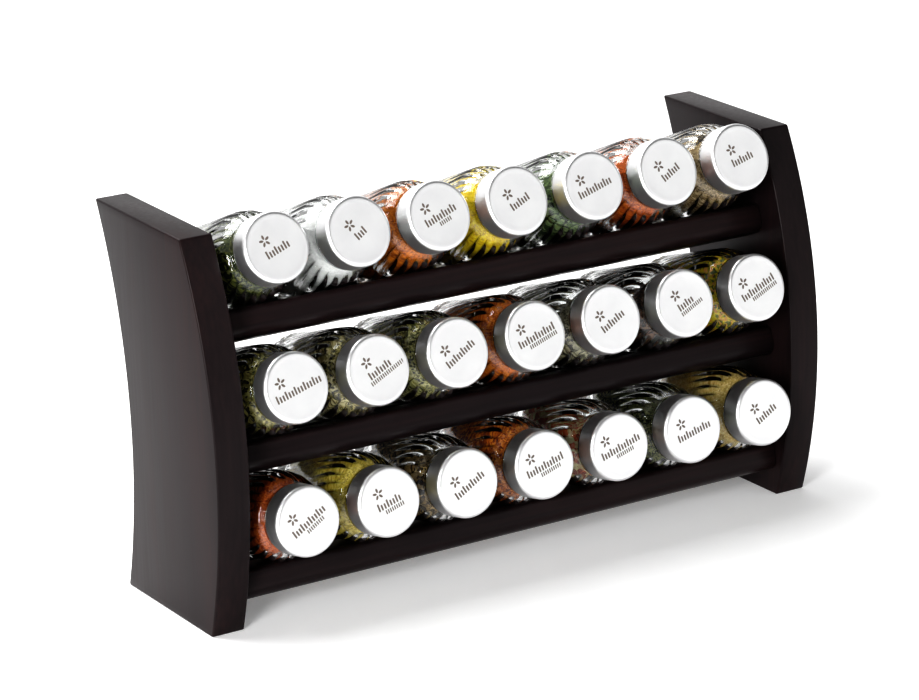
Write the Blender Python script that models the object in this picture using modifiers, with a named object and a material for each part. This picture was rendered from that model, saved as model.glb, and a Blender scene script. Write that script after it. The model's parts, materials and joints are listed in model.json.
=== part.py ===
"""Three-tier wooden spice rack with twenty-one tilted glass jars.

Two curved side panels carry a front rail and a rebated rear rail for each row.
Every jar lies across its two rails with its lid towards the user, and its base
rests against the rear rail's stop. The rack stands on Z = 0, X runs along it.
All lengths are in metres.
"""

import math

import bpy
from mathutils import Vector

MM = 0.001

# Overall width and the side panels.
RACK_WIDTH = 450 * MM
PANEL_THICKNESS = 22.3 * MM
PANEL_FOOT_DEPTH = 109.4 * MM
PANEL_FRONT_HEIGHT = 247.2 * MM
PANEL_REAR_HEIGHT = 248.8 * MM
PANEL_FRONT_TOP_Y = 17.9 * MM
PANEL_REAR_TOP_Y = 126.9 * MM
FRONT_EDGE_BULGE = 24.0 * MM
REAR_EDGE_BULGE = 22.2 * MM
PANEL_EDGE_ROUND = 1.2 * MM
ARC_STEPS = 12

# Rows: name, lid face centre behind the panel's front foot, its height, tilt.
ROWS = (
    ("top", -4.9 * MM, 238.9 * MM, math.radians(22.3)),
    ("middle", -22.4 * MM, 155.7 * MM, math.radians(17.4)),
    ("bottom", -30.0 * MM, 72.8 * MM, math.radians(11.6)),
)
COLUMNS = 7
JAR_PITCH = 57.0 * MM

# Lid, a cup with a smooth skirt and a narrow raised rim round its face.
LID_RADIUS = 22.0 * MM
LID_HEIGHT = 15.0 * MM
LID_EDGE_ROUND = 1.2 * MM
LID_EDGE_INSET = 0.84 * MM
LID_RIM_INNER_RADIUS = 20.2 * MM
LID_RIM_SLOPE = 0.4 * MM
LID_FACE_RECESS = 0.5 * MM
LID_SKIRT_WALL = 1.7 * MM
LID_TOP_WALL = 2.7 * MM

# Jar, measured along its own axis from the base to the mouth.
JAR_LENGTH_WITH_LID = 105.0 * MM
JAR_RADIUS = 28.2 * MM
JAR_FOOT_RADIUS = 24.0 * MM
JAR_NECK_RADIUS = 19.8 * MM
JAR_MOUTH_RADIUS = 16.4 * MM
JAR_WALL = 2.8 * MM
JAR_BASE_THICKNESS = 12.0 * MM
JAR_FOOT_ROUND = 6.0 * MM
SHOULDER_LENGTH = 18.0 * MM
SHOULDER_KNEE_INSET = 2.4 * MM
SHOULDER_KNEE_SHARE = 0.55
INNER_KNEE_INSET = 3.2 * MM
INNER_KNEE_SHARE = 0.45
INNER_SHOULDER_DROP = 2.0 * MM
FLOOR_CORNER_WIDTH = 4.0 * MM
FLOOR_CORNER_HEIGHT = 5.0 * MM
NECK_LENGTH = 6.0 * MM

# Wooden rails, placed along and across the row's own axis.
FRONT_RAIL_SETBACK = 38.6 * MM
FRONT_RAIL_WIDTH = 28.0 * MM
FRONT_RAIL_THICKNESS = 19.0 * MM
FRONT_RAIL_NOSE_ROUND = 8.0 * MM
FRONT_RAIL_TOP_ROUND = 4.0 * MM
REAR_RAIL_THICKNESS = 12.0 * MM
REAR_RAIL_ABOVE_AXIS = 4.0 * MM
LEDGE_DEPTH = 18.0 * MM
LEDGE_THICKNESS = 8.0 * MM
RAIL_EDGE_ROUND = 2.0 * MM
RAIL_END_ROUND = 0.4 * MM
GAP = 0.3 * MM

ROUND_STEPS = 16
WELD_DISTANCE = 0.01 * MM

LID_RIM_OUTER_RADIUS = LID_RADIUS - LID_EDGE_INSET
FRONTMOST_Y = ROWS[2][1] - LID_RIM_OUTER_RADIUS * math.sin(ROWS[2][3])
# The origin lies under the middle of the rack's whole depth.
ORIGIN_Y = (FRONTMOST_Y + PANEL_REAR_TOP_Y) / 2
INNER_WIDTH = RACK_WIDTH - 2 * PANEL_THICKNESS


def clear_scene():
    """Remove every object, so that the rack is alone in the file."""
    for old in list(bpy.data.objects):
        bpy.data.objects.remove(old, do_unlink=True)


def new_collection(name):
    """Make a collection under the scene's own one."""
    collection = bpy.data.collections.new(name)
    bpy.context.scene.collection.children.link(collection)
    return collection


def make_material(name, colour, roughness, metallic=0.0, transmission=0.0):
    """Make a plain surface from its colour, roughness and metallic value."""
    material = bpy.data.materials.new(name)
    material.use_nodes = True
    shader = material.node_tree.nodes["Principled BSDF"]
    shader.inputs["Base Color"].default_value = (*colour, 1.0)
    shader.inputs["Roughness"].default_value = roughness
    shader.inputs["Metallic"].default_value = metallic
    shader.inputs["Transmission Weight"].default_value = transmission
    return material


def arc(centre, radius, start, end, steps):
    """Points on a circle from one angle to another, both ends included."""
    turn = (end - start) / steps
    angles = [start + turn * i for i in range(steps + 1)]
    return [(centre[0] + radius * math.cos(a), centre[1] + radius * math.sin(a)) for a in angles]


def bulged_edge(foot, top, bulge):
    """Points from foot to top on an arc that bulges towards -Y by bulge."""
    chord = math.dist(foot, top)
    radius = (chord * chord / 4 + bulge * bulge) / (2 * bulge)
    along = ((top[0] - foot[0]) / chord, (top[1] - foot[1]) / chord)
    middle = ((foot[0] + top[0]) / 2, (foot[1] + top[1]) / 2)
    centre = (
        middle[0] + along[1] * (radius - bulge),
        middle[1] - along[0] * (radius - bulge),
    )
    start = math.atan2(foot[1] - centre[1], foot[0] - centre[0]) % math.tau
    end = math.atan2(top[1] - centre[1], top[0] - centre[0]) % math.tau
    return arc(centre, radius, start, end, ARC_STEPS)


def rounded_outline(corners, steps=3):
    """Outline through corners given as (u, v, radius), each turned on an arc."""
    points = []
    for i, (u, v, radius) in enumerate(corners):
        corner = Vector((u, v))
        before = (Vector(corners[i - 1][:2]) - corner).normalized()
        after = (Vector(corners[(i + 1) % len(corners)][:2]) - corner).normalized()
        half = before.angle(after) / 2
        centre = corner + (before + after).normalized() * radius / math.sin(half)
        first = corner + before * radius / math.tan(half) - centre
        last = corner + after * radius / math.tan(half) - centre
        start = math.atan2(first.y, first.x)
        turn = (math.atan2(last.y, last.x) - start + math.pi) % math.tau - math.pi
        points += arc(centre, radius, start, start + turn, steps)
    return points


def flat_piece(name, outline, thickness, edge_round, material, collection):
    """Extrude an outline drawn in Y and Z equally to both sides along X."""
    curve = bpy.data.curves.new(name, "CURVE")
    curve.dimensions = "2D"
    curve.fill_mode = "BOTH"
    curve.extrude = thickness / 2
    spline = curve.splines.new("POLY")
    spline.points.add(len(outline) - 1)
    for point, (u, v) in zip(spline.points, outline):
        point.co = (u, v, 0.0, 1.0)
    spline.use_cyclic_u = True
    curve.materials.append(material)
    piece = bpy.data.objects.new(name, curve)
    collection.objects.link(piece)
    # The curve's own X and Y become the rack's Y and Z.
    piece.rotation_euler = (math.pi / 2, 0.0, math.pi / 2)
    weld = piece.modifiers.new("join_caps", "WELD")
    weld.merge_threshold = WELD_DISTANCE
    bevel = piece.modifiers.new("ease_edges", "BEVEL")
    bevel.width = edge_round
    bevel.segments = 2
    bevel.limit_method = "ANGLE"
    bevel.angle_limit = math.radians(50)
    return piece


def turned_mesh(name, profile, material):
    """Mesh of a profile's edges, for a Screw modifier to turn round Z."""
    mesh = bpy.data.meshes.new(name)
    points = [(radius, 0.0, height) for radius, height in profile]
    edges = [(i, i + 1) for i in range(len(points) - 1)]
    mesh.from_pydata(points, edges, [])
    mesh.materials.append(material)
    return mesh


def turned_piece(name, mesh, collection):
    """Turn a profile mesh once round its own Z axis."""
    piece = bpy.data.objects.new(name, mesh)
    collection.objects.link(piece)
    screw = piece.modifiers.new("turn", "SCREW")
    screw.axis = "Z"
    screw.steps = ROUND_STEPS
    screw.render_steps = ROUND_STEPS
    screw.use_merge_vertices = True
    screw.merge_threshold = WELD_DISTANCE
    screw.use_smooth_shade = True
    return piece


def panel_outline():
    """Side panel with a bowed front edge and a hollow rear edge."""
    front_top = (PANEL_FRONT_TOP_Y, PANEL_FRONT_HEIGHT)
    rear_top = (PANEL_REAR_TOP_Y, PANEL_REAR_HEIGHT)
    front = bulged_edge((0.0, 0.0), front_top, FRONT_EDGE_BULGE)
    rear = bulged_edge((PANEL_FOOT_DEPTH, 0.0), rear_top, REAR_EDGE_BULGE)
    outline = rear + front[::-1]
    return [(y - ORIGIN_Y, z) for y, z in outline]


def jar_profile():
    """Radius and height up the jar, from the inside floor over the rim."""
    mouth = JAR_LENGTH_WITH_LID - LID_TOP_WALL - GAP
    neck_low = JAR_LENGTH_WITH_LID - LID_HEIGHT - NECK_LENGTH
    body_top = neck_low - SHOULDER_LENGTH
    inner_radius = JAR_RADIUS - JAR_WALL
    floor = JAR_BASE_THICKNESS
    inner_neck_low = neck_low - JAR_WALL
    return [
        (0.0, floor),
        (inner_radius - FLOOR_CORNER_WIDTH, floor),
        (inner_radius, floor + FLOOR_CORNER_HEIGHT),
        (inner_radius, body_top - INNER_SHOULDER_DROP),
        (inner_radius - INNER_KNEE_INSET, body_top + INNER_KNEE_SHARE * SHOULDER_LENGTH),
        (JAR_MOUTH_RADIUS, inner_neck_low),
        (JAR_MOUTH_RADIUS, mouth),
        (JAR_NECK_RADIUS, mouth),
        (JAR_NECK_RADIUS, neck_low),
        (JAR_RADIUS - SHOULDER_KNEE_INSET, body_top + SHOULDER_KNEE_SHARE * SHOULDER_LENGTH),
        (JAR_RADIUS, body_top),
        (JAR_RADIUS, JAR_FOOT_ROUND),
        (JAR_FOOT_RADIUS, 0.0),
        (0.0, 0.0),
    ]


def lid_profile():
    """Radius and height up the lid, from its face down the outer side."""
    face = LID_HEIGHT - LID_FACE_RECESS
    bore = LID_RADIUS - LID_SKIRT_WALL
    return [
        (0.0, face),
        (LID_RIM_INNER_RADIUS, face),
        (LID_RIM_INNER_RADIUS + LID_RIM_SLOPE, LID_HEIGHT),
        (LID_RIM_OUTER_RADIUS, LID_HEIGHT),
        (LID_RADIUS, LID_HEIGHT - LID_EDGE_ROUND),
        (LID_RADIUS, 0.0),
        (bore, 0.0),
        (bore, LID_HEIGHT - LID_TOP_WALL),
        (0.0, LID_HEIGHT - LID_TOP_WALL),
    ]


def add_panels(material, collection):
    """The two side panels, standing on the floor."""
    outline = panel_outline()
    middle_x = (RACK_WIDTH - PANEL_THICKNESS) / 2
    for side, x in (("left", -middle_x), ("right", middle_x)):
        name = "side_panel_" + side
        panel = flat_piece(name, outline, PANEL_THICKNESS, PANEL_EDGE_ROUND, material, collection)
        panel.location = (x, 0.0, 0.0)


def front_rail_outline():
    """Section of the rail under the jars' shoulders, with a round nose."""
    top = -JAR_RADIUS - GAP
    bottom = top - FRONT_RAIL_THICKNESS
    front = FRONT_RAIL_SETBACK
    rear = front + FRONT_RAIL_WIDTH
    return rounded_outline(
        [
            (front, bottom, FRONT_RAIL_NOSE_ROUND),
            (rear, bottom, RAIL_EDGE_ROUND),
            (rear, top, RAIL_EDGE_ROUND),
            (front, top, FRONT_RAIL_TOP_ROUND),
        ]
    )


def rear_rail_outline():
    """Section of the rebated rail: a ledge under the bases, a stop behind them."""
    ledge_top = -JAR_RADIUS - GAP
    bottom = ledge_top - LEDGE_THICKNESS
    stop = JAR_LENGTH_WITH_LID + GAP
    ledge_front = stop - LEDGE_DEPTH
    rear = stop + REAR_RAIL_THICKNESS
    return rounded_outline(
        [
            (ledge_front, bottom, RAIL_EDGE_ROUND),
            (rear, bottom, RAIL_EDGE_ROUND),
            (rear, REAR_RAIL_ABOVE_AXIS, RAIL_EDGE_ROUND),
            (stop, REAR_RAIL_ABOVE_AXIS, RAIL_EDGE_ROUND),
            (stop, ledge_top, RAIL_EDGE_ROUND / 2),
            (ledge_front, ledge_top, RAIL_EDGE_ROUND),
        ]
    )


def add_rails(row, y, z, tilt, material, collection):
    """A row's front rail and rear rail, between the side panels."""
    # The outlines' first axis runs from the lid face to the rear, down the
    # slope, and their second axis points up and square to it.
    length = INNER_WIDTH - 2 * GAP
    outlines = {"front_rail_": front_rail_outline(), "rear_rail_": rear_rail_outline()}
    for kind, outline in outlines.items():
        rail = flat_piece(kind + row, outline, length, RAIL_END_ROUND, material, collection)
        rail.location = (0.0, y - ORIGIN_Y, z)
        rail.rotation_euler.y = tilt


def add_jars(row, y, z, tilt, jar_mesh, lid_mesh, collection):
    """A row of jars, each with its lid parented to it."""
    base_y = y - ORIGIN_Y + JAR_LENGTH_WITH_LID * math.cos(tilt)
    base_z = z - JAR_LENGTH_WITH_LID * math.sin(tilt)
    for column in range(COLUMNS):
        label = f"{row}_{column + 1}"
        jar = turned_piece("jar_" + label, jar_mesh, collection)
        jar.location = ((column - (COLUMNS - 1) / 2) * JAR_PITCH, base_y, base_z)
        jar.rotation_euler = (math.pi / 2 - tilt, 0.0, 0.0)
        lid = turned_piece("lid_" + label, lid_mesh, collection)
        lid.parent = jar
        lid.location = (0.0, 0.0, JAR_LENGTH_WITH_LID - LID_HEIGHT)


def build_rack():
    """Make the whole rack in a collection of its own."""
    clear_scene()
    rack = new_collection("spice_rack")
    wood = make_material("dark_wood", (0.052, 0.034, 0.034), 0.38)
    glass = make_material("clear_glass", (0.86, 0.9, 0.88), 0.05, transmission=1.0)
    metal = make_material("satin_metal", (0.74, 0.74, 0.75), 0.32, metallic=1.0)
    jar_mesh = turned_mesh("jar_profile", jar_profile(), glass)
    lid_mesh = turned_mesh("lid_profile", lid_profile(), metal)
    add_panels(wood, rack)
    for row, y, z, tilt in ROWS:
        add_rails(row, y, z, tilt, wood, rack)
        add_jars(row, y, z, tilt, jar_mesh, lid_mesh, rack)


build_rack()
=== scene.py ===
# %% [markdown]
# # A three-tier spice rack with twenty-one jars
#
# Two dark wooden side panels hold three rows of tilted glass jars with satin
# metal lids. This notebook finishes the measured frame of the rack: it gives
# every wooden piece its soft edges and grain, every jar its twisted flutes,
# every lid its turned rim, and every jar its own spice.
#
# The frame is loaded first. It says where each piece is, in metres, and how the
# jars and lids move. Nothing in it is changed: each finished piece takes the
# place of a plain one and rides on the same body.

# %% Load the measured frame
import json
import math
import random

import bmesh
import bpy
from mathutils import Matrix, Quaternion, Vector

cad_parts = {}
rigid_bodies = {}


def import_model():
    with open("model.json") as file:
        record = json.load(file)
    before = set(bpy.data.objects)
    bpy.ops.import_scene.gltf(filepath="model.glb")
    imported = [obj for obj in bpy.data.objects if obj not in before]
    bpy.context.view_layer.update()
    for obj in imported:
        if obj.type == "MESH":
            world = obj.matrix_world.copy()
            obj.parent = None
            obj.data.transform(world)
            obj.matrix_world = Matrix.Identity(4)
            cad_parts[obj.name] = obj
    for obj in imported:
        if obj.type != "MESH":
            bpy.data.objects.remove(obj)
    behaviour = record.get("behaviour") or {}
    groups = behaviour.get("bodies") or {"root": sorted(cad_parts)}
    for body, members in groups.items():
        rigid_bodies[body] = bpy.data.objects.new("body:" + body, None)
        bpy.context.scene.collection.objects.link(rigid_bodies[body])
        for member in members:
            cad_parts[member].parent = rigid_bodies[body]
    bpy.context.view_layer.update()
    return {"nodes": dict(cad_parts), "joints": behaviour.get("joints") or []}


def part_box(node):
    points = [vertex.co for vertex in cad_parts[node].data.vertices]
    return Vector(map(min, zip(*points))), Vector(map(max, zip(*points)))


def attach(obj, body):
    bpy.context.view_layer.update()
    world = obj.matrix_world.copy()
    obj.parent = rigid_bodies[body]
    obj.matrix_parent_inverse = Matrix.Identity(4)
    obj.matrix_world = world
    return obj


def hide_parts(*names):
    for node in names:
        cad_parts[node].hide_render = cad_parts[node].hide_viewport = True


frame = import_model()
MM = 0.001
ROWS = ("top", "middle", "bottom")
COLUMNS = 7

# %% [markdown]
# ## Working as by hand, but in code
#
# Blender's operators act on whatever is selected. So there is one helper that
# selects a single object, and one that selects points of a mesh by their place.
# Everything else is done with the same tools that a modeller has under the
# mouse: extrude, scale, spin, bevel and bridge.


# %% Helpers for selecting
def select_only(piece):
    """Make one object the only selected one, and the active one."""
    bpy.ops.object.select_all(action="DESELECT")
    piece.select_set(True)
    bpy.context.view_layer.objects.active = piece


def open_mesh(piece, mode="VERT"):
    """Go into edit mode on one piece, with everything selected."""
    select_only(piece)
    bpy.ops.object.mode_set(mode="EDIT")
    bpy.ops.mesh.select_mode(type=mode)
    bpy.ops.mesh.select_all(action="SELECT")


def close_mesh():
    """Leave edit mode."""
    bpy.ops.object.mode_set(mode="OBJECT")


def pick(piece, wanted):
    """In edit mode, select only the points whose place is wanted."""
    mesh = bmesh.from_edit_mesh(piece.data)
    for face in mesh.faces:
        face.select = False
    for edge in mesh.edges:
        edge.select = False
    for point in mesh.verts:
        point.select = wanted(point.co)
    mesh.select_flush(True)
    bmesh.update_edit_mesh(piece.data)


def pick_edges(piece, wanted):
    """In edit mode, select only the edges whose two ends are wanted."""
    mesh = bmesh.from_edit_mesh(piece.data)
    for point in mesh.verts:
        point.select = False
    for face in mesh.faces:
        face.select = False
    for edge in mesh.edges:
        edge.select = all(wanted(point.co) for point in edge.verts)
    mesh.select_flush_mode()
    bmesh.update_edit_mesh(piece.data)


def finish_modifier(piece, kind, **settings):
    """Add a modifier, set it up and apply it."""
    select_only(piece)
    modifier = piece.modifiers.new(kind.lower(), kind)
    for key, value in settings.items():
        setattr(modifier, key, value)
    bpy.ops.object.modifier_apply(modifier=modifier.name)


def smooth(piece, angle):
    """Shade a piece smooth where its faces meet at less than the angle."""
    select_only(piece)
    bpy.ops.object.shade_smooth_by_angle(angle=math.radians(angle))


def copy_of(piece, name):
    """A copy of a finished piece, with a mesh of its own."""
    twin = piece.copy()
    twin.data = piece.data.copy()
    twin.name = name
    bpy.context.scene.collection.objects.link(twin)
    return twin


# %% [markdown]
# ## Each row has a frame of its own
#
# All the jars of a row lie at one tilt. It is easiest to model a jar standing
# upright, with its base at the origin and its mouth up, and to lay it into the
# rack at the end. The measured jars say where: a jar slides out along its own
# axis, so the slide's direction is the jar's, and the middle of its points lies
# on that axis.


# %% Find the rows
def row_matrix(row):
    """Place of a row's middle jar: base at the origin, mouth along Z."""
    slide = next(j for j in frame["joints"] if j["name"] == f"jar_{row}_4_slide")
    outward = Vector(slide["axis"]).normalized()
    points = [point.co for point in frame["nodes"][f"jar_{row}_4"].data.vertices]
    middle = sum(points, Vector()) / len(points)
    base = min(outward.dot(point) for point in points)
    origin = middle + outward * (base - outward.dot(middle))
    across = Vector((1, 0, 0))
    turn = Matrix((across, outward.cross(across), outward)).transposed()
    return Matrix.Translation(origin) @ turn.to_4x4()


ROW_MATRIX = {row: row_matrix(row) for row in ROWS}
first_low, first_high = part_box("jar_top_1")
next_low, next_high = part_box("jar_top_2")
JAR_PITCH = next_low.x - first_low.x


def jar_matrix(row, column):
    """Place of one jar, counted from 1 at the left."""
    step = (column - (COLUMNS + 1) / 2) * JAR_PITCH
    return Matrix.Translation((step, 0, 0)) @ ROW_MATRIX[row]


def put_in_place(piece, matrix):
    """Move a piece by moving its mesh, and leave its object at the origin."""
    piece.data.transform(matrix)
    piece.data.update()


for row in ROWS:
    tilt = math.degrees(math.asin(ROW_MATRIX[row].col[2].z))
    print(row, "row is tilted by", round(tilt, 1), "degrees")

# %% [markdown]
# ## Dark stained wood
#
# The rack is dark, almost black wood with a satin lacquer. The stain hides most
# of the figure, and what remains is a fine grain along each board, a slight red
# warmth, and pores that catch the light. A stretched noise gives the grain. It
# is read on Object coordinates, and a Mapping node stretches it along the board,
# up the side panels and along the rails.


# %% A wood material for each direction of the grain
def new_material(name):
    """A material with its shader, a coordinate node and a short way to link."""
    material = bpy.data.materials.new(name)
    material.use_nodes = True
    tree = material.node_tree
    shader = tree.nodes["Principled BSDF"]
    place = tree.nodes.new("ShaderNodeTexCoord")
    return material, tree, shader, place


def mapped(tree, place, scale):
    """Object coordinates stretched by a scale for each axis."""
    mapping = tree.nodes.new("ShaderNodeMapping")
    mapping.inputs["Scale"].default_value = scale
    tree.links.new(place.outputs["Object"], mapping.inputs["Vector"])
    return mapping.outputs["Vector"]


def noise(tree, vector, scale, detail, roughness=0.5):
    """The value of a noise texture."""
    node = tree.nodes.new("ShaderNodeTexNoise")
    node.inputs["Scale"].default_value = scale
    node.inputs["Detail"].default_value = detail
    node.inputs["Roughness"].default_value = roughness
    tree.links.new(vector, node.inputs["Vector"])
    return node.outputs["Fac"]


def ramp(tree, value, stops):
    """Colours placed along a value from 0 to 1."""
    node = tree.nodes.new("ShaderNodeValToRGB")
    elements = node.color_ramp.elements
    while len(elements) < len(stops):
        elements.new(0.5)
    for element, (position, colour) in zip(elements, stops):
        element.position = position
        element.color = (*colour, 1.0)
    tree.links.new(value, node.inputs["Fac"])
    return node.outputs["Color"]


def stretch(tree, value, low, high):
    """Turn a value from 0..1 into one from low to high."""
    node = tree.nodes.new("ShaderNodeMapRange")
    node.inputs["To Min"].default_value = low
    node.inputs["To Max"].default_value = high
    tree.links.new(value, node.inputs["Value"])
    return node.outputs["Result"]


def bump(tree, shader, height, distance, strength):
    """Raise the surface by a height, into the shader's normal."""
    node = tree.nodes.new("ShaderNodeBump")
    node.inputs["Distance"].default_value = distance
    node.inputs["Strength"].default_value = strength
    tree.links.new(height, node.inputs["Height"])
    tree.links.new(node.outputs["Normal"], shader.inputs["Normal"])


def wood_material(name, along):
    """Dark stained wood whose grain runs along one axis, 0, 1 or 2."""
    material, tree, shader, place = new_material(name)
    broad_scale = [26.0, 26.0, 26.0]
    fine_scale = [420.0, 420.0, 420.0]
    broad_scale[along] = 2.2
    fine_scale[along] = 14.0
    broad = noise(tree, mapped(tree, place, broad_scale), 1.0, 3.0)
    fine = noise(tree, mapped(tree, place, fine_scale), 1.0, 2.0)
    both = tree.nodes.new("ShaderNodeMix")
    both.inputs["Factor"].default_value = 0.35
    tree.links.new(broad, both.inputs["A"])
    tree.links.new(fine, both.inputs["B"])
    grain = both.outputs["Result"]
    colours = [
        (0.30, (0.0085, 0.0056, 0.0062)),
        (0.50, (0.0140, 0.0088, 0.0095)),
        (0.72, (0.0250, 0.0130, 0.0130)),
    ]
    tree.links.new(ramp(tree, grain, colours), shader.inputs["Base Color"])
    tree.links.new(stretch(tree, fine, 0.26, 0.42), shader.inputs["Roughness"])
    shader.inputs["Specular IOR Level"].default_value = 0.15
    bump(tree, shader, fine, 0.05 * MM, 0.35)
    return material


PANEL_WOOD = wood_material("dark_wood_upright", 2)
RAIL_WOOD = wood_material("dark_wood_lengthwise", 0)

# %% [markdown]
# ## The side panels
#
# A side panel is a board with a bowed front edge and a hollow rear edge. Both
# are arcs. A quick way to an even arc is to spin one short edge about the arc's
# centre, which leaves a curved strip. Two strips, front and rear, are then
# bridged rim to rim into a closed board, and a bevel softens its edges.
#
# Extruding a flat outline would work too, but its ends would be large flat faces
# with many corners, while the bridge gives neat faces that run up the board.

# %% Sizes of a side panel
left_low, left_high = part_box("side_panel_left")
PANEL_THICKNESS = left_high.x - left_low.x
PANEL_FOOT_DEPTH = 109.4 * MM
PANEL_FRONT_TOP = (17.9 * MM, 247.2 * MM)
PANEL_REAR_TOP = (126.9 * MM, 248.8 * MM)
FRONT_BULGE = 24.0 * MM
REAR_BULGE = 22.2 * MM
PANEL_EDGE_ROUND = 1.2 * MM
ARC_STEPS = 40
# The rearmost point of a panel is its rear top corner.
PANEL_FOOT_Y = left_high.y - PANEL_REAR_TOP[0]


# %% Spin, bridge and bevel a panel
def curved_strip(name, x_low, x_high, foot, top, bulge):
    """A strip that runs from foot to top, each (y, z), and bows towards -Y."""
    foot = Vector((0, *foot))
    top = Vector((0, *top))
    chord = top - foot
    radius = (chord.length_squared / 4 + bulge * bulge) / (2 * bulge)
    inward = Vector((0, chord.z, -chord.y)).normalized()
    centre = (foot + top) / 2 + inward * (radius - bulge)
    bpy.ops.object.select_all(action="DESELECT")
    bpy.ops.mesh.primitive_plane_add(size=1, location=(0, 0, 0))
    strip = bpy.context.object
    strip.name = name
    open_mesh(strip)
    pick(strip, lambda place: place.y > 0)
    bpy.ops.mesh.delete(type="VERT")
    bpy.ops.mesh.select_all(action="SELECT")
    bpy.ops.transform.resize(value=(x_high - x_low, 1, 1), center_override=(0, 0, 0))
    shift = ((x_low + x_high) / 2, foot.y + 0.5, foot.z)
    bpy.ops.transform.translate(value=shift)
    turn = (foot - centre).angle(top - centre)
    bpy.ops.mesh.spin(steps=ARC_STEPS, angle=turn, center=centre, axis=(1, 0, 0))
    close_mesh()
    return strip


def side_panel(name, x_low, x_high):
    """A whole side panel between two heights along X."""
    foot = (PANEL_FOOT_Y, 0.0)
    rear_foot = (PANEL_FOOT_Y + PANEL_FOOT_DEPTH, 0.0)
    front_top = (PANEL_FOOT_Y + PANEL_FRONT_TOP[0], PANEL_FRONT_TOP[1])
    rear_top = (PANEL_FOOT_Y + PANEL_REAR_TOP[0], PANEL_REAR_TOP[1])
    panel = curved_strip(name, x_low, x_high, foot, front_top, FRONT_BULGE)
    rear = curved_strip("rear_strip", x_low, x_high, rear_foot, rear_top, REAR_BULGE)
    select_only(panel)
    rear.select_set(True)
    bpy.ops.object.join()
    open_mesh(panel, "EDGE")
    bpy.ops.mesh.select_all(action="DESELECT")
    bpy.ops.mesh.select_non_manifold()
    bpy.ops.mesh.bridge_edge_loops()
    bpy.ops.mesh.select_all(action="SELECT")
    bpy.ops.mesh.normals_make_consistent(inside=False)
    close_mesh()
    finish_modifier(
        panel,
        "BEVEL",
        width=PANEL_EDGE_ROUND,
        segments=4,
        limit_method="ANGLE",
        angle_limit=math.radians(50),
    )
    smooth(panel, 30)
    return panel


for side in ("left", "right"):
    low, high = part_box("side_panel_" + side)
    panel = side_panel("board_" + side, low.x, high.x)
    panel.data.materials.append(PANEL_WOOD)
    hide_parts("side_panel_" + side)
    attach(panel, "rack_frame")
    print(panel.name, [round(length / MM, 1) for length in panel.dimensions])

# %% [markdown]
# ## The rails
#
# Each row has a front rail with a large round nose, and a rear rail with a step
# cut into it: the jars' bases rest on its ledge and against its stop. Both start
# as a cube of the rail's own size. The long edges get a bevel each, with the
# radius of a router bit. They are modelled in the row's own frame, where the
# jars stand upright, and are then laid into the rack with it.

# %% Sizes of the rails, in the row's frame
JAR_LENGTH_WITH_LID = 105.0 * MM
JAR_RADIUS = 28.2 * MM
GAP = 0.3 * MM
RAIL_TOP = -JAR_RADIUS - GAP
FRONT_RAIL_FRONT = JAR_LENGTH_WITH_LID - 38.6 * MM
FRONT_RAIL_WIDTH = 28.0 * MM
FRONT_RAIL_THICKNESS = 19.0 * MM
LEDGE_DEPTH = 18.0 * MM
LEDGE_THICKNESS = 8.0 * MM
STOP_THICKNESS = 12.0 * MM
STOP_TOP = 4.0 * MM
RAIL_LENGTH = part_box("front_rail_top")[1].x * 2
NEAR = 0.05 * MM


# %% Model a rail from a cube
def block(name, y_low, y_high, z_low, z_high):
    """A cube stretched to a rail's length and to a range in Y and Z."""
    bpy.ops.object.select_all(action="DESELECT")
    middle = (0, (y_low + y_high) / 2, (z_low + z_high) / 2)
    bpy.ops.mesh.primitive_cube_add(size=1, location=middle)
    piece = bpy.context.object
    piece.name = name
    piece.scale = (RAIL_LENGTH, y_high - y_low, z_high - z_low)
    bpy.ops.object.transform_apply(location=True, rotation=True, scale=True)
    return piece


def round_long_edge(piece, y, z, radius, steps):
    """Bevel the edges along X that lie at one place in Y and Z."""
    pick_edges(piece, lambda place: abs(place.y - y) < NEAR and abs(place.z - z) < NEAR)
    bpy.ops.mesh.bevel(offset=radius, segments=steps, affect="EDGES")


def front_rail(name):
    """The rail under the jars' shoulders, with its nose to the front."""
    low = RAIL_TOP - FRONT_RAIL_THICKNESS
    rear = FRONT_RAIL_FRONT - FRONT_RAIL_WIDTH
    piece = block(name, low, RAIL_TOP, rear, FRONT_RAIL_FRONT)
    open_mesh(piece, "EDGE")
    round_long_edge(piece, low, FRONT_RAIL_FRONT, 8 * MM, 12)
    round_long_edge(piece, RAIL_TOP, FRONT_RAIL_FRONT, 4 * MM, 8)
    round_long_edge(piece, low, rear, 2 * MM, 5)
    round_long_edge(piece, RAIL_TOP, rear, 2 * MM, 5)
    close_mesh()
    return piece


def rear_rail(name):
    """The rail that carries the bases, with a ledge and a stop."""
    low = RAIL_TOP - LEDGE_THICKNESS
    rear = -GAP - STOP_THICKNESS
    front = -GAP + LEDGE_DEPTH
    piece = block(name, low, RAIL_TOP, rear, front)
    open_mesh(piece, "FACE")
    bpy.ops.mesh.bisect(plane_co=(0, 0, -GAP), plane_no=(0, 0, 1))
    pick(piece, lambda place: place.y > RAIL_TOP - NEAR and place.z < -GAP + NEAR)
    rise = STOP_TOP - RAIL_TOP
    bpy.ops.mesh.extrude_region_move(TRANSFORM_OT_translate={"value": (0, rise, 0)})
    for y, z in ((low, rear), (low, front), (RAIL_TOP, front), (STOP_TOP, rear), (STOP_TOP, -GAP)):
        bpy.ops.mesh.select_mode(type="EDGE")
        round_long_edge(piece, y, z, 2 * MM, 5)
    close_mesh()
    return piece


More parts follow.
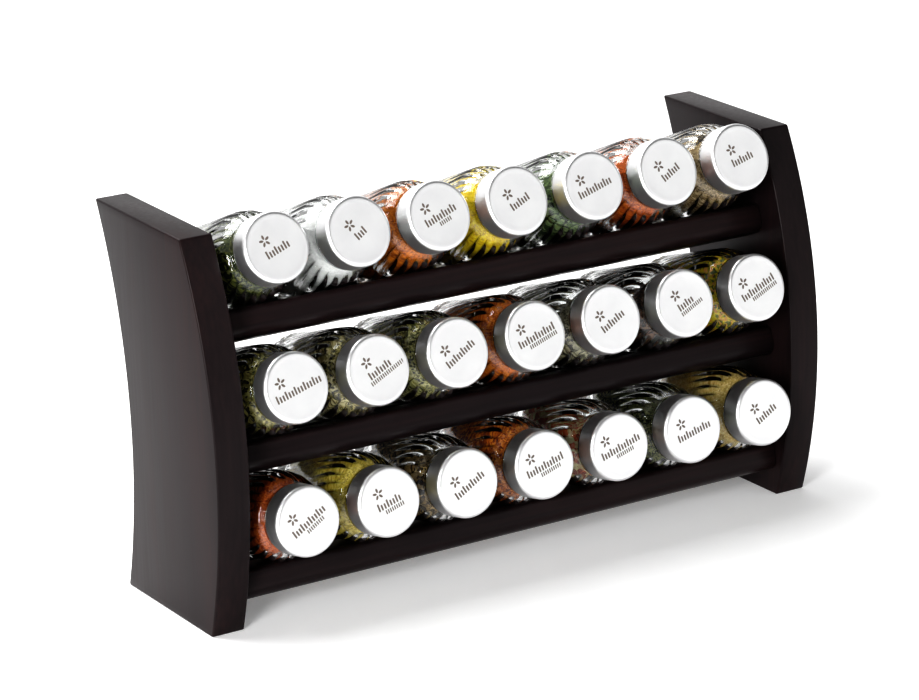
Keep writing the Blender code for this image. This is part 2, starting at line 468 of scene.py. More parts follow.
for row in ROWS:
    for model, kind in ((front_rail, "front_rail_"), (rear_rail, "rear_rail_")):
        rail = model(kind + row + "_board")
        finish_modifier(
            rail,
            "BEVEL",
            width=0.4 * MM,
            segments=2,
            limit_method="ANGLE",
            angle_limit=math.radians(50),
        )
        smooth(rail, 40)
        put_in_place(rail, ROW_MATRIX[row])
        rail.data.materials.append(RAIL_WOOD)
        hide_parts(kind + row)
        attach(rail, "rack_frame")
    print(row, "rails are", round(RAIL_LENGTH / MM, 1), "mm long")

# %% [markdown]
# ## Turned shapes
#
# A jar, a lid and a heap of spice are all round. Instead of drawing a profile
# and spinning it, each is grown from a circle: extrude it up, scale it to the
# next radius, and so on along the profile. The number of points round it stays
# the same all the way, which keeps the flutes of the glass easy to find.


# %% Grow a round body along its profile
def turned(name, profile, around):
    """A closed body through (radius, height) pairs, from bottom to top."""
    radius, height = profile[0]
    bpy.ops.object.select_all(action="DESELECT")
    bpy.ops.mesh.primitive_circle_add(vertices=around, radius=radius, location=(0, 0, height))
    piece = bpy.context.object
    piece.name = name
    bpy.ops.object.transform_apply(location=True, rotation=True, scale=True)
    open_mesh(piece, "EDGE")
    bpy.ops.mesh.edge_face_add()
    bpy.ops.mesh.select_all(action="SELECT")
    bpy.ops.mesh.delete(type="ONLY_FACE")
    bpy.ops.mesh.select_all(action="SELECT")
    for next_radius, next_height in profile[1:]:
        rise = (0, 0, next_height - height)
        bpy.ops.mesh.extrude_region_move(TRANSFORM_OT_translate={"value": rise})
        share = next_radius / radius
        bpy.ops.transform.resize(value=(share, share, 1), center_override=(0, 0, 0))
        radius, height = next_radius, next_height
    bpy.ops.mesh.edge_face_add()
    radius, height = profile[0]
    pick(piece, lambda place: abs(place.z - height) < 1e-6 and place.xy.length < radius + 1e-6)
    bpy.ops.mesh.edge_face_add()
    bpy.ops.mesh.select_all(action="SELECT")
    bpy.ops.mesh.normals_make_consistent(inside=False)
    close_mesh()
    return piece


def quarter(centre_radius, centre_height, across, up, start, end, steps):
    """Points of an ellipse's arc, as (radius, height), angles in degrees."""
    points = []
    for i in range(steps + 1):
        angle = math.radians(start + (end - start) * i / steps)
        radius = centre_radius + across * math.cos(angle)
        points.append((radius, centre_height + up * math.sin(angle)))
    return points


# %% [markdown]
# ## The glass jar
#
# The jars are pressed glass. Shallow flutes twist from the neck to the base, the
# shoulder is round, and the base is a thick clear disc in which the flutes meet
# like a fan. The wall matters as much as the outside, because light bends at
# both faces, so the profile goes up the outside, over the rim and down again on
# the inside.
#
# The flutes are cut by a Displace modifier that follows a vertex group: weight 1
# at the bottom of each groove, and less towards the crest. A twist then turns
# the straight flutes. The neck and the inside are round, so it doesn't show
# there. The same weights are also kept on the mesh, and the glass uses them to
# paint shade into the grooves: a painted dark line where the steep groove walls
# would bend the light away.

# %% Sizes of the jar
FLUTES = 28
POINTS_PER_FLUTE = 6
FLUTE_DEPTH = 1.25 * MM
FLUTE_TWIST = math.radians(62)
BODY_SHARE = 0.22
BODY_TOP = 66.0 * MM
SHOULDER_TOP = 84.0 * MM
NECK_RADIUS = 19.8 * MM
JAR_MOUTH = 102.0 * MM
INNER_RADIUS = 25.4 * MM
MOUTH_RADIUS = 16.4 * MM
INSIDE_FLOOR = 12.0 * MM
FOOT_RADIUS = 24.0 * MM
FOOT_ROUND = 6.0 * MM
SMALL_RADIUS = 1.5 * MM


# %% The jar's profile
def evenly(start, end, steps):
    """Points between two (radius, height) pairs, the first left out."""
    return [
        (
            start[0] + (end[0] - start[0]) * i / steps,
            start[1] + (end[1] - start[1]) * i / steps,
        )
        for i in range(1, steps + 1)
    ]


def jar_profile():
    """From the middle of the base, up the outside, and down the inside."""
    points = [(SMALL_RADIUS, 1.6 * MM)]
    points += evenly(points[-1], (FOOT_RADIUS - 5 * MM, 1.2 * MM), 4)
    points += evenly(points[-1], (FOOT_RADIUS - 2.5 * MM, 0.2 * MM), 2)
    across = JAR_RADIUS - FOOT_RADIUS
    points += quarter(FOOT_RADIUS, FOOT_ROUND, across, FOOT_ROUND, -90, 0, 6)
    points += evenly(points[-1], (JAR_RADIUS, BODY_TOP), 9)
    shoulder = JAR_RADIUS - NECK_RADIUS
    points += quarter(NECK_RADIUS, BODY_TOP, shoulder, SHOULDER_TOP - BODY_TOP, 0, 84, 10)[1:]
    points += [(NECK_RADIUS, SHOULDER_TOP + 0.6 * MM)]
    points += quarter(NECK_RADIUS, SHOULDER_TOP + 3 * MM, 1.5 * MM, 1.3 * MM, -80, 80, 5)
    points += [(NECK_RADIUS - 0.6 * MM, SHOULDER_TOP + 5 * MM)]
    points += [(NECK_RADIUS - 0.6 * MM, JAR_MOUTH - 1.2 * MM)]
    points += quarter(NECK_RADIUS - 1.8 * MM, JAR_MOUTH - 1.2 * MM, 1.2 * MM, 1.2 * MM, 0, 90, 3)[1:]
    points += quarter(MOUTH_RADIUS + 1.0 * MM, JAR_MOUTH - 1.0 * MM, 1.0 * MM, 1.0 * MM, 90, 180, 3)
    points += [(MOUTH_RADIUS, SHOULDER_TOP + 1 * MM)]
    inner = INNER_RADIUS - MOUTH_RADIUS
    points += quarter(MOUTH_RADIUS, BODY_TOP - 2 * MM, inner, 18 * MM, 86, 0, 8)
    points += evenly(points[-1], (INNER_RADIUS, INSIDE_FLOOR + 4 * MM), 6)
    points += quarter(INNER_RADIUS - 4 * MM, INSIDE_FLOOR + 4 * MM, 4 * MM, 4 * MM, 0, -90, 4)[1:]
    points += evenly(points[-1], (SMALL_RADIUS, INSIDE_FLOOR + 0.6 * MM), 3)
    return points


# %% Cut the flutes and twist them
def groove_share(place):
    """How deep a point of the outside lies in a groove, from 0 to 1."""
    radius = place.xy.length
    phase = math.atan2(place.y, place.x) / math.tau * FLUTES
    off_groove = abs(phase - round(phase)) * 2
    depth = (1 - off_groove) ** 2.0
    if place.z > SHOULDER_TOP - 0.8 * MM or radius < SMALL_RADIUS * 2:
        return 0.0
    near_neck = min(1.0, max(0.0, (SHOULDER_TOP - place.z) / (6 * MM)))
    near_middle = min(1.0, radius / FOOT_RADIUS)
    near_shoulder = (place.z - (BODY_TOP - 12 * MM)) / (10 * MM)
    near_base = (18 * MM - place.z) / (10 * MM)
    near_end = min(1.0, max(BODY_SHARE, near_shoulder, near_base))
    return depth * near_neck * near_middle * near_end


profile = jar_profile()
mouth_ring = max(range(len(profile)), key=lambda i: profile[i][1])
around = FLUTES * POINTS_PER_FLUTE
jar = turned("jar_model", profile, around)
grooves = jar.vertex_groups.new(name="grooves")
shares = []
for point in jar.data.vertices:
    outside = point.index < around * mouth_ring
    share = groove_share(point.co) if outside else 0.0
    shares.append(share)
    if share > 0.01:
        grooves.add([point.index], share, "REPLACE")
# Painted shade: the groove shares are also kept as an attribute, which darkens the glass at the
# bottom of each groove.
shade = jar.data.attributes.new("painted_groove_shade", "FLOAT", "POINT")
shade.data.foreach_set("value", shares)
finish_modifier(
    jar,
    "DISPLACE",
    strength=-FLUTE_DEPTH,
    mid_level=0.0,
    direction="NORMAL",
    vertex_group="grooves",
)
finish_modifier(
    jar,
    "SIMPLE_DEFORM",
    deform_method="TWIST",
    deform_axis="Z",
    angle=-FLUTE_TWIST,
)
smooth(jar, 60)
print("jar model:", len(jar.data.polygons), "faces,", len(profile), "rings")

# %% [markdown]
# ## Clear glass
#
# Clear glass is a fully transmitting shader with the index of ordinary glass.
# Pressed glass is never perfectly even, so a very low, wide bump lets the
# reflections waver a little. The glass is also tinted dark grey at the bottom of
# each groove. This is painted shade that stands in for the dark lines made by the
# steep groove walls.


# %% The glass
def glass_material():
    """Clear pressed glass, with painted shade in the bottoms of its grooves."""
    material, tree, shader, place = new_material("clear_glass")
    # Painted shade: where the groove share is high, the glass turns dark grey.
    groove = tree.nodes.new("ShaderNodeAttribute")
    groove.attribute_name = "painted_groove_shade"
    clear = (0.985, 0.995, 0.99)
    colours = [(0.25, clear), (0.9, (0.10, 0.10, 0.10))]
    tree.links.new(ramp(tree, groove.outputs["Fac"], colours), shader.inputs["Base Color"])
    shader.inputs["Roughness"].default_value = 0.0
    shader.inputs["IOR"].default_value = 1.47
    shader.inputs["Transmission Weight"].default_value = 1.0
    waver = noise(tree, mapped(tree, place, (1, 1, 1)), 90.0, 1.0)
    bump(tree, shader, waver, 0.12 * MM, 0.5)
    return material


GLASS = glass_material()
jar.data.materials.append(GLASS)

# %% [markdown]
# ## The lid
#
# A lid is a metal cup with a smooth skirt. Its face has a soft round edge and a
# very shallow step inside it. It is grown along its profile like the jar, from
# the middle of the face, down the outside, and up again inside the skirt.

# %% Sizes and profile of the lid
LID_RADIUS = 22.0 * MM
LID_HEIGHT = 15.0 * MM
LID_BASE = JAR_LENGTH_WITH_LID - LID_HEIGHT
LID_EDGE = 2.6 * MM
LID_FACE = JAR_LENGTH_WITH_LID - 0.16 * MM
LID_BORE = 20.3 * MM
LID_ROOF = JAR_LENGTH_WITH_LID - 2.7 * MM


def lid_profile():
    """From the middle of the inside, down the bore, up the skirt to the face."""
    points = [(SMALL_RADIUS, LID_ROOF)]
    points += [(LID_BORE - 0.8 * MM, LID_ROOF)]
    points += quarter(LID_BORE - 0.8 * MM, LID_ROOF - 0.8 * MM, 0.8 * MM, 0.8 * MM, 90, 0, 3)[1:]
    points += [(LID_BORE, LID_BASE + 0.3 * MM), (LID_BORE + 0.3 * MM, LID_BASE)]
    points += [(LID_RADIUS - 0.5 * MM, LID_BASE)]
    points += quarter(LID_RADIUS - 0.5 * MM, LID_BASE + 0.5 * MM, 0.5 * MM, 0.5 * MM, -90, 0, 3)[1:]
    top = JAR_LENGTH_WITH_LID - LID_EDGE
    points += evenly(points[-1], (LID_RADIUS, top), 4)
    points += quarter(LID_RADIUS - LID_EDGE, top, LID_EDGE, LID_EDGE, 0, 90, 7)[1:]
    points += [(18.4 * MM, JAR_LENGTH_WITH_LID - 0.03 * MM), (17.4 * MM, LID_FACE + 0.04 * MM)]
    points += [(16.2 * MM, LID_FACE)]
    points += [(12.0 * MM, LID_FACE), (SMALL_RADIUS, LID_FACE)]
    return points


lid = turned("lid_model", lid_profile(), 96)
smooth(lid, 40)
print("lid model:", len(lid.data.polygons), "faces")

# %% [markdown]
# ## Satin metal
#
# The lids are satin aluminium: bright, but blurred, with a fine turned grain
# that is only seen close to. The grain is a noise on coordinates that are
# squeezed across the lid, and it moves the roughness and a tiny bump.


# %% The metal
def metal_material():
    """Satin aluminium with a fine grain."""
    material, tree, shader, place = new_material("satin_metal")
    shader.inputs["Metallic"].default_value = 1.0
    grain = noise(tree, mapped(tree, place, (900, 500, 500)), 1.0, 2.0)
    cloud = noise(tree, mapped(tree, place, (1, 1, 1)), 60.0, 3.0)
    colours = [(0.3, (0.79, 0.79, 0.795)), (0.7, (0.84, 0.84, 0.84))]
    tree.links.new(ramp(tree, cloud, colours), shader.inputs["Base Color"])
    tree.links.new(stretch(tree, grain, 0.34, 0.46), shader.inputs["Roughness"])
    bump(tree, shader, grain, 0.01 * MM, 0.25)
    return material


METAL = metal_material()
lid.data.materials.append(METAL)

# %% [markdown]
# ## The mark on each lid
#
# Each lid is printed so that the jars can be told apart. Here the print is a
# plain ornament: a small rosette of seeds, and a hatched bar whose length
# differs from jar to jar, with a second, lower bar on some. The ink is a skin
# of hardly any height on the lid's face. The jars were put back by hand, so
# each mark is turned a little differently.

# %% Sizes of the mark
INK_HEIGHT = 0.05 * MM
STROKE_PITCH = 2.25 * MM
STROKE_WIDTH = 1.2 * MM
STROKE_HEIGHT = 5.2 * MM
LOW_STROKE_HEIGHT = 3.8 * MM
SMALL_STROKE_PITCH = 1.6 * MM
SMALL_STROKE_WIDTH = 0.8 * MM
SMALL_STROKE_HEIGHT = 2.8 * MM
ROSETTE_SEEDS = 5


# %% Model the ink
def ink_material():
    """Matt brown-grey print."""
    material, tree, shader, place = new_material("brown_grey_print")
    speckle = noise(tree, mapped(tree, place, (1, 1, 1)), 1400.0, 2.0)
    colours = [(0.3, (0.10, 0.078, 0.064)), (0.7, (0.15, 0.122, 0.104))]
    tree.links.new(ramp(tree, speckle, colours), shader.inputs["Base Color"])
    tree.links.new(stretch(tree, speckle, 0.45, 0.65), shader.inputs["Roughness"])
    return material


INK = ink_material()


def ink_drop(x, y, across, along, turn):
    """One flat rounded dab of ink, across by along, turned about its middle."""
    bpy.ops.object.select_all(action="DESELECT")
    bpy.ops.mesh.primitive_circle_add(vertices=16, radius=0.5, fill_type="NGON")
    dab = bpy.context.object
    dab.scale = (across, along, 1)
    dab.rotation_euler.z = turn
    dab.location = (x, y, LID_FACE)
    bpy.ops.object.transform_apply(location=True, rotation=True, scale=True)
    return dab


def ink_stroke(x, y, width, height):
    """One upright stroke of ink with round ends."""
    bpy.ops.object.select_all(action="DESELECT")
    bpy.ops.mesh.primitive_plane_add(size=1, location=(x, y, LID_FACE))
    stroke = bpy.context.object
    stroke.scale = (width, height, 1)
    bpy.ops.object.transform_apply(location=True, rotation=True, scale=True)
    open_mesh(stroke)
    bpy.ops.mesh.bevel(offset=width * 0.42, segments=3, affect="VERTICES")
    close_mesh()
    return stroke


def joined(name, parts):
    """Join several objects into one and name it."""
    select_only(parts[0])
    for part in parts:
        part.select_set(True)
    bpy.ops.object.join()
    parts[0].name = name
    return parts[0]


def thicken(piece):
    """Give flat ink its height."""
    open_mesh(piece, "FACE")
    bpy.ops.mesh.normals_make_consistent(inside=False)
    bpy.ops.mesh.extrude_region_move(TRANSFORM_OT_translate={"value": (0, 0, INK_HEIGHT)})
    close_mesh()


def lid_mark(name, long_bar, short_bar):
    """A rosette with one hatched bar, and a smaller bar if it has a length."""
    dabs = []
    lift = 2.6 * MM if short_bar else 1.3 * MM
    rosette_x = -long_bar * 0.28
    rosette_y = STROKE_HEIGHT / 2 + lift + 3.0 * MM
    for i in range(ROSETTE_SEEDS):
        turn = math.tau * i / ROSETTE_SEEDS
        x = rosette_x - 2.3 * MM * math.sin(turn)
        y = rosette_y + 2.3 * MM * math.cos(turn)
        dabs.append(ink_drop(x, y, 1.5 * MM, 3.0 * MM, turn))
    for i in range(max(2, round(long_bar / STROKE_PITCH))):
        x = -long_bar / 2 + (i + 0.5) * STROKE_PITCH
        high = LOW_STROKE_HEIGHT if i % 3 else STROKE_HEIGHT
        y = lift - 2.6 * MM + (high - STROKE_HEIGHT) / 2
        dabs.append(ink_stroke(x, y, STROKE_WIDTH, high))
    for i in range(round(short_bar / SMALL_STROKE_PITCH)):
        x = -short_bar * 0.35 + (i + 0.5) * SMALL_STROKE_PITCH
        y = lift - 2.6 * MM - STROKE_HEIGHT / 2 - 2.1 * MM
        dabs.append(ink_stroke(x, y, SMALL_STROKE_WIDTH, SMALL_STROKE_HEIGHT))
    mark = joined(name, dabs)
    thicken(mark)
    mark.data.materials.append(INK)
    return mark


# %% [markdown]
# ## The spices
#
# A spice is what fills the glass, pressed against it from inside. The heap is a
# round body just smaller than the inside, cut off level where the jar isn't
# full, with a rough surface. Powders stay nearly smooth. Herbs and seeds get
# bits scattered over them, each a small closed body, coloured by a cell pattern
# that is about as coarse as the bits.


# %% Colours of a spice
CLUMP = 3.2 * MM


def spice_material(name, stops, grain, coarse, roughness=0.8):
    """Cells of random colour, each grain across, over a fine noise."""
    material, tree, shader, place = new_material(name)
    vector = mapped(tree, place, (1, 1, 1))
    warp = tree.nodes.new("ShaderNodeTexVoronoi")
    warp.inputs["Scale"].default_value = 1.0 / grain
    tree.links.new(vector, warp.inputs["Vector"])
    split = tree.nodes.new("ShaderNodeSeparateColor")
    tree.links.new(warp.outputs["Color"], split.inputs["Color"])
    fine = noise(tree, vector, 1.6 / grain, 3.0, 0.65)
    both = tree.nodes.new("ShaderNodeMix")
    both.inputs["Factor"].default_value = 1.0 - coarse
    tree.links.new(split.outputs["Red"], both.inputs["A"])
    tree.links.new(fine, both.inputs["B"])
    clumps = tree.nodes.new("ShaderNodeMix")
    clumps.inputs["Factor"].default_value = 0.3
    tree.links.new(both.outputs["Result"], clumps.inputs["A"])
    tree.links.new(noise(tree, vector, 1.0 / CLUMP, 3.0, 0.6), clumps.inputs["B"])
    value = clumps.outputs["Result"]
    tree.links.new(ramp(tree, value, stops), shader.inputs["Base Color"])
    shader.inputs["Roughness"].default_value = roughness
    shader.inputs["Specular IOR Level"].default_value = 0.3
    bump(tree, shader, value, 0.25 * grain, 0.6)
    return material


# %% The heap inside a jar
HEAP_GAP = 0.3 * MM


def heap_profile():
    """The inside of the jar, less a small gap."""
    radius = INNER_RADIUS - HEAP_GAP
    floor = INSIDE_FLOOR + HEAP_GAP + 0.7 * MM
    points = [(SMALL_RADIUS, floor)]
    points += evenly(points[-1], (radius - 4 * MM, floor), 6)
    points += quarter(radius - 4 * MM, floor + 4 * MM, 4 * MM, 4 * MM, -90, 0, 4)[1:]
    points += evenly(points[-1], (radius, BODY_TOP - 3 * MM), 20)
    inner = radius - MOUTH_RADIUS + HEAP_GAP
    points += quarter(MOUTH_RADIUS - HEAP_GAP, BODY_TOP - 3 * MM, inner, 18 * MM, 0, 84, 12)[1:]
    points += evenly(points[-1], (MOUTH_RADIUS - 2 * MM, SHOULDER_TOP - 1 * MM), 2)
    points += evenly(points[-1], (SMALL_RADIUS, SHOULDER_TOP - 1 * MM), 6)
    return points


heap = turned("heap_model", heap_profile(), 84)
print("heap model:", len(heap.data.polygons), "faces")


def level_off(piece, row, level):
    """Cut a heap off at a level, in the jar's frame, that is level in the room."""
    up = ROW_MATRIX[row].to_3x3().inverted() @ Vector((0, 0, 1))
    open_mesh(piece, "FACE")
    bpy.ops.mesh.bisect(
        plane_co=(0, level, BODY_TOP / 2 + 6 * MM),
        plane_no=up,
        use_fill=True,
        clear_outer=True,
    )
    close_mesh()


def roughen(piece, size, depth):
    """Sink the surface unevenly, never outwards."""
    texture = bpy.data.textures.new(piece.name, "CLOUDS")
    texture.noise_scale = size
    texture.noise_depth = 1
    finish_modifier(
        piece,
        "DISPLACE",
        texture=texture,
        texture_coords="LOCAL",
        strength=-depth,
        mid_level=0.0,
    )


# %% [markdown]
# Bits of leaf, seeds, needles and berries are made once each, from an icosphere
# that is squashed, bent or pulled out. A heap's own faces say where bits lie: a
# random few of them are kept as a carrier, each carries one bit, and the copies
# are made real and joined.


# %% Make one bit of each kind
def bit(name, across, along, height, bend):
    """A small closed bit, lying flat."""
    bpy.ops.object.select_all(action="DESELECT")
    bpy.ops.mesh.primitive_ico_sphere_add(subdivisions=1, radius=0.5)
    piece = bpy.context.object
    piece.name = name
    piece.scale = (along, across, height)
    bpy.ops.object.transform_apply(location=True, rotation=True, scale=True)
    if bend:
        open_mesh(piece)
        pick(piece, lambda place: abs(place.x) > along * 0.2)
        bpy.ops.transform.translate(value=(0, 0, -bend))
        close_mesh()
    return piece


BITS = {
    "flake": bit("flake", 1.9 * MM, 3.2 * MM, 0.35 * MM, 0.25 * MM),
    "needle": bit("needle", 0.7 * MM, 4.2 * MM, 0.5 * MM, 0.1 * MM),
    "seed": bit("seed", 1.2 * MM, 4.4 * MM, 1.0 * MM, 0.15 * MM),
    "chip": bit("chip", 3.0 * MM, 4.6 * MM, 0.8 * MM, 0.2 * MM),
}
bpy.ops.object.select_all(action="DESELECT")
bpy.ops.mesh.primitive_ico_sphere_add(subdivisions=2, radius=2.7 * MM)
berry = bpy.context.object
berry.name = "berry"
smooth(berry, 60)
BITS["berry"] = berry


# %% Scatter bits over a heap
def scatter(heap_piece, kind, share, seed, lean):
    """Copies of a bit on a random share of a heap's faces, as one object."""
    carrier = copy_of(heap_piece, "carrier")
    open_mesh(carrier, "FACE")
    bpy.ops.mesh.select_all(action="DESELECT")
    bpy.ops.mesh.select_random(ratio=share, seed=seed)
    bpy.ops.mesh.select_all(action="INVERT")
    bpy.ops.mesh.delete(type="FACE")
    close_mesh()
    model = copy_of(BITS[kind], "bit")
    model.parent = carrier
    carrier.instance_type = "FACES"
    select_only(carrier)
    bpy.ops.object.duplicates_make_real()
    made = [o for o in bpy.context.selected_objects if o != carrier and o.type == "MESH"]
    draw = random.Random(seed)
    for piece in made:
        piece.parent = None
        turn = Quaternion((0, 0, 1), draw.uniform(0, math.tau))
        tip = Quaternion((1, 0, 0), draw.uniform(-lean, lean))
        place, facing, size = piece.matrix_world.decompose()
        size = size * draw.uniform(0.7, 1.15)
        piece.matrix_world = Matrix.LocRotScale(place, facing @ turn @ tip, size)
    bpy.data.objects.remove(carrier)
    bpy.data.objects.remove(model)
    cover = joined("cover", made)
    select_only(cover)
    bpy.ops.object.transform_apply(location=True, rotation=True, scale=True)
    return cover


# %% [markdown]
# ## What is in each jar
#
# One line for each jar: its spice's colours from dark to light, how coarse it
# is, the bits in it, how full the jar is, and its mark. Levels are heights over
# the jar's axis, and 40 mm is over the top, so such a jar is full.


# %% The twenty-one spices
def shades(*colours):
    """Spread colours evenly along a ramp."""
    last = len(colours) - 1
    return [(0.33 + 0.34 * i / last, colour) for i, colour in enumerate(colours)]


GREEN_DILL = shades((0.006, 0.009, 0.003), (0.03, 0.045, 0.010), (0.16, 0.17, 0.045))
SALT = shades((0.80, 0.80, 0.79), (0.90, 0.90, 0.89), (0.97, 0.97, 0.96))
ORANGE = shades((0.30, 0.065, 0.004), (0.60, 0.16, 0.008), (0.80, 0.28, 0.02))
YELLOW = shades((0.55, 0.34, 0.006), (0.85, 0.62, 0.008), (0.92, 0.76, 0.03))
PARSLEY = shades((0.012, 0.022, 0.006), (0.06, 0.11, 0.03), (0.22, 0.30, 0.12))
CHILLI = shades((0.24, 0.035, 0.003), (0.55, 0.11, 0.008), (0.78, 0.22, 0.02))
PEPPER = shades((0.09, 0.055, 0.02), (0.42, 0.30, 0.15), (0.66, 0.53, 0.32))
MARJORAM = shades((0.03, 0.028, 0.008), (0.25, 0.22, 0.055), (0.56, 0.50, 0.18))
PROVENCE = shades((0.04, 0.035, 0.012), (0.34, 0.29, 0.09), (0.74, 0.66, 0.36))
OREGANO = shades((0.05, 0.05, 0.015), (0.32, 0.31, 0.09), (0.68, 0.64, 0.30))
CHICKEN = shades((0.30, 0.05, 0.003), (0.65, 0.16, 0.008), (0.82, 0.30, 0.03))
BASIL = shades((0.05, 0.045, 0.028), (0.27, 0.25, 0.15), (0.60, 0.56, 0.38))
ALLSPICE = shades((0.03, 0.016, 0.010), (0.11, 0.056, 0.034), (0.26, 0.14, 0.08))
UNIVERSAL = shades((0.16, 0.20, 0.03), (0.80, 0.60, 0.015), (0.92, 0.78, 0.05), (0.80, 0.40, 0.08))
SWEET = shades((0.18, 0.028, 0.003), (0.40, 0.078, 0.007), (0.56, 0.14, 0.02))
MUSTARD = shades((0.34, 0.25, 0.03), (0.68, 0.53, 0.08), (0.84, 0.72, 0.20))
CARAWAY = shades((0.03, 0.018, 0.006), (0.19, 0.115, 0.035), (0.50, 0.36, 0.16))
GRILL = shades((0.08, 0.012, 0.003), (0.52, 0.12, 0.010), (0.80, 0.32, 0.03))
VEGETABLE = shades((0.30, 0.05, 0.02), (0.62, 0.52, 0.24), (0.78, 0.70, 0.42), (0.55, 0.12, 0.04))
THYME = shades((0.014, 0.016, 0.006), (0.09, 0.11, 0.035), (0.32, 0.33, 0.13))
GINGER = shades((0.52, 0.34, 0.08), (0.76, 0.56, 0.18), (0.88, 0.74, 0.34))

# Row, column, name, colours, grain, bits, level, mark's turn, long and short bar.
FULL = 40
JARS = (
    ("top", 1, "dill", GREEN_DILL, 1.3, "needle", 21, 19, 19, 0),
    ("top", 2, "salt", SALT, 0.6, None, 24, 31, 10, 0),
    ("top", 3, "hot_paprika", ORANGE, 0.8, None, FULL, 19, 24, 9),
    ("top", 4, "curry", YELLOW, 0.8, None, 23, 23, 15, 0),
    ("top", 5, "parsley", PARSLEY, 1.5, "flake", 20, 15, 28, 0),
    ("top", 6, "chilli", CHILLI, 0.9, None, 23, 27, 15, 0),
    ("top", 7, "ground_pepper", PEPPER, 0.9, None, 22, 14, 18, 0),
    ("middle", 1, "marjoram", MARJORAM, 1.2, "flake", FULL, 15, 33, 0),
    ("middle", 2, "provence_herbs", PROVENCE, 1.2, "flake", FULL, 24, 17, 28),
    ("middle", 3, "oregano", OREGANO, 1.2, "flake", FULL, 29, 24, 0),
    ("middle", 4, "chicken_seasoning", CHICKEN, 0.9, None, FULL, 17, 29, 22),
    ("middle", 5, "basil", BASIL, 1.4, "flake", 15, 27, 21, 0),
    ("middle", 6, "allspice", ALLSPICE, 2.2, "berry", 18, 24, 14, 20),
    ("middle", 7, "universal_seasoning", UNIVERSAL, 1.5, "flake", FULL, 22, 29, 22),
    ("bottom", 1, "sweet_paprika", SWEET, 0.9, None, FULL, 30, 27, 14),
    ("bottom", 2, "herb_pepper", MUSTARD, 0.9, None, FULL, 16, 19, 15),
    ("bottom", 3, "caraway", CARAWAY, 1.5, "seed", 20, 28, 25, 0),
    ("bottom", 4, "grill_seasoning", GRILL, 1.2, None, FULL, 16, 30, 16),
    ("bottom", 5, "dried_vegetables", VEGETABLE, 3.0, "chip", 20, 16, 31, 15),
    ("bottom", 6, "thyme", THYME, 1.0, "needle", 18, 14, 27, 0),
    ("bottom", 7, "ginger", GINGER, 0.8, None, FULL, 28, 17, 0),
)
SHARE_OF_FACES = {"flake": 0.10, "needle": 0.12, "seed": 0.09, "chip": 0.05, "berry": 0.045}
SINK = {"flake": 0.9, "needle": 0.8, "seed": 1.2, "chip": 1.6, "berry": 4.5}


# %% [markdown]
# ## Fill the rack
#
# Every jar gets its glass, lid, mark and spice. The glass and the spice ride on
# the jar, and the lid and its mark ride on the lid, so that a jar can be drawn
# out of the rack and opened.


# %% Lay one jar into the rack
def add_spice(row, column, name, colours, grain, kind, level, seed):
    """The heap in one jar, with its bits."""
    piece = copy_of(heap, f"spice_{row}_{column}_{name}")
    if level < FULL:
        level_off(piece, row, level * MM)
    sink = SINK.get(kind, 0.25) * MM
    if kind:
        finish_modifier(piece, "DISPLACE", strength=-sink, mid_level=0.0)
    put_in_place(piece, jar_matrix(row, column))
    roughen(piece, 3.5 * MM if kind else 6 * MM, sink)
    smooth(piece, 40)
    material = spice_material(name, colours, grain * MM, 0.75 if kind else 0.45)
    piece.data.materials.append(material)
    if kind:
        cover = scatter(piece, kind, SHARE_OF_FACES[kind], seed, 0.12)
        cover.data.materials.clear()
        cover.data.materials.append(material)
        joined(piece.name, [piece, cover])
    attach(piece, f"jar_{row}_{column}")


def add_jar(row, column, name, turn, long_bar, short_bar):
    """The glass, the lid and its mark."""
    matrix = jar_matrix(row, column)
    glass = copy_of(jar, f"glass_{row}_{column}")
    put_in_place(glass, matrix)
    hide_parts(f"jar_{row}_{column}")
    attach(glass, f"jar_{row}_{column}")
    cap = copy_of(lid, f"cap_{row}_{column}")
    put_in_place(cap, matrix)
    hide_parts(f"lid_{row}_{column}")
    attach(cap, f"lid_{row}_{column}")
    mark = lid_mark(f"mark_{row}_{column}_{name}", long_bar * MM, short_bar * MM)
    turned_matrix = matrix @ Matrix.Rotation(math.radians(turn), 4, "Z")
    put_in_place(mark, turned_matrix)
    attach(mark, f"lid_{row}_{column}")


for seed, (row, column, name, colours, grain, kind, level, turn, bar, small) in enumerate(JARS):
    add_spice(row, column, name, colours, grain, kind, level, seed)
    add_jar(row, column, name, turn, bar, small)
for model in (jar, lid, heap, *BITS.values()):
    bpy.data.objects.remove(model)
print("jars filled:", len(JARS))

# %% [markdown]
# ## Floor, light and camera
#
# The rack stands on a white floor in a white room, as a catalogue picture is
# taken. A large soft light above and behind draws the soft shadow towards the
# viewer, one at the right front makes the lids' faces bright, and one at the
# left puts the small highlights on the glass shoulders.


# %% The room
def floor_material():
    """Pale, faintly mottled studio floor."""
    material, tree, shader, place = new_material("pale_floor")
    cloud = noise(tree, mapped(tree, place, (1, 1, 1)), 3.0, 2.0)
    colours = [(0.3, (0.89, 0.89, 0.89)), (0.7, (0.91, 0.91, 0.91))]
    tree.links.new(ramp(tree, cloud, colours), shader.inputs["Base Color"])
    shader.inputs["Roughness"].default_value = 0.7
    shader.inputs["Specular IOR Level"].default_value = 0.2
    shader.inputs["Emission Color"].default_value = (1.0, 1.0, 1.0, 1.0)
    shader.inputs["Emission Strength"].default_value = 0.25
    return material


ROOM_FRONT = 0.07
ROOM_BACK = 1.4
bpy.ops.object.select_all(action="DESELECT")
bpy.ops.mesh.primitive_plane_add(size=12, location=(0, 0, 0))
floor = bpy.context.object
floor.name = "floor"
floor.data.materials.append(floor_material())

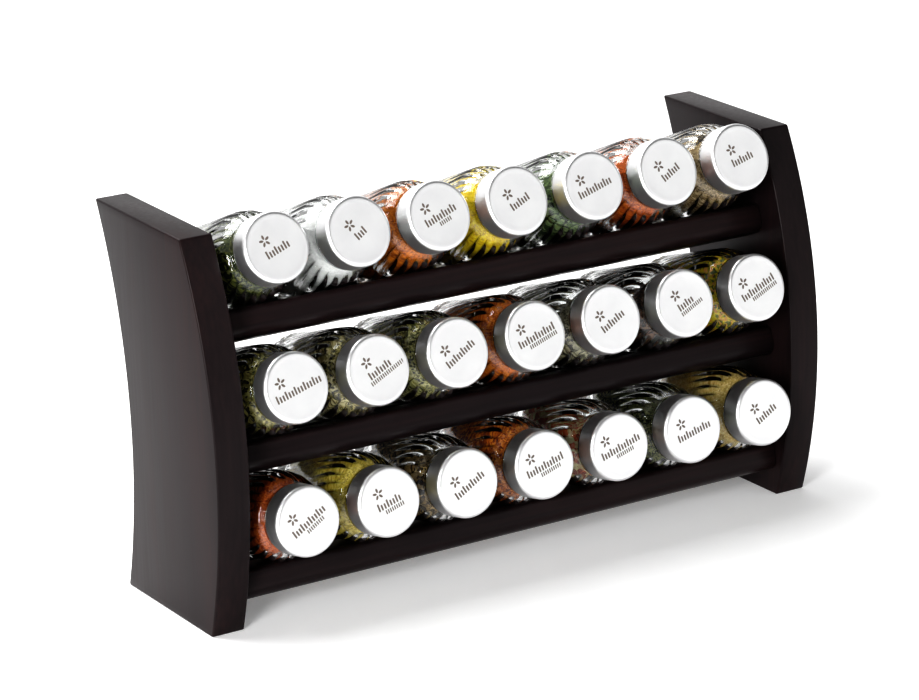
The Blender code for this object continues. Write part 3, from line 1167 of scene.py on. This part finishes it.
world = bpy.data.worlds.new("white_room")
world.use_nodes = True
world_tree = world.node_tree
background = world_tree.nodes["Background"]
background.inputs["Color"].default_value = (1.0, 1.0, 1.0, 1.0)
direction = world_tree.nodes.new("ShaderNodeTexCoord")
split = world_tree.nodes.new("ShaderNodeSeparateXYZ")
world_tree.links.new(direction.outputs["Generated"], split.inputs["Vector"])
brightness = stretch(world_tree, split.outputs["Y"], ROOM_FRONT, ROOM_BACK)
brightness.node.inputs["From Min"].default_value = 0.0
brightness.node.inputs["From Max"].default_value = 0.75
world_tree.links.new(brightness, background.inputs["Strength"])
bpy.context.scene.world = world


def soft_light(name, place, target, width, height, power):
    """A rectangular lamp that faces a target."""
    data = bpy.data.lights.new(name, "AREA")
    data.shape = "RECTANGLE"
    data.size = width
    data.size_y = height
    data.energy = power
    lamp = bpy.data.objects.new(name, data)
    bpy.context.scene.collection.objects.link(lamp)
    lamp.location = place
    lamp.rotation_euler = (Vector(target) - Vector(place)).to_track_quat("-Z", "Y").to_euler()
    return lamp


soft_light("light_above", (-0.5, 0.7, 1.8), (0, 0, 0.1), 1.6, 1.2, 64)
soft_light("light_right", (0.9, -1.5, 0.78), (0, 0, 0.12), 2.0, 1.6, 13.2)
soft_light("light_left", (-1.5, -1.1, 0.6), (0, 0, 0.12), 0.5, 0.7, 42)

# %% [markdown]
# The camera stands to the left of the rack and a little above it, far enough for
# a long lens. It is turned about its own axis by a degree and a half.

# %% The camera
AZIMUTH = math.radians(31.91)
ELEVATION = math.radians(17.78)
ROLL = math.radians(-1.48)
DISTANCE = 2.238
TARGET = Vector((-0.04276, -0.04632, 0.14838))
back = Vector(
    (
        -math.sin(AZIMUTH) * math.cos(ELEVATION),
        -math.cos(AZIMUTH) * math.cos(ELEVATION),
        math.sin(ELEVATION),
    )
)
lens = bpy.data.cameras.new("camera")
lens.lens = 141.45
lens.sensor_width = 36.0
camera = bpy.data.objects.new("camera", lens)
bpy.context.scene.collection.objects.link(camera)
camera.location = TARGET + back * DISTANCE
camera.rotation_mode = "QUATERNION"
camera.rotation_quaternion = back.to_track_quat("Z", "Y") @ Quaternion((0, 0, 1), ROLL)
bpy.context.scene.camera = camera
tone = bpy.context.scene.view_settings
tone.view_transform = "Standard"
tone.look = "High Contrast"
tone.exposure = -0.7
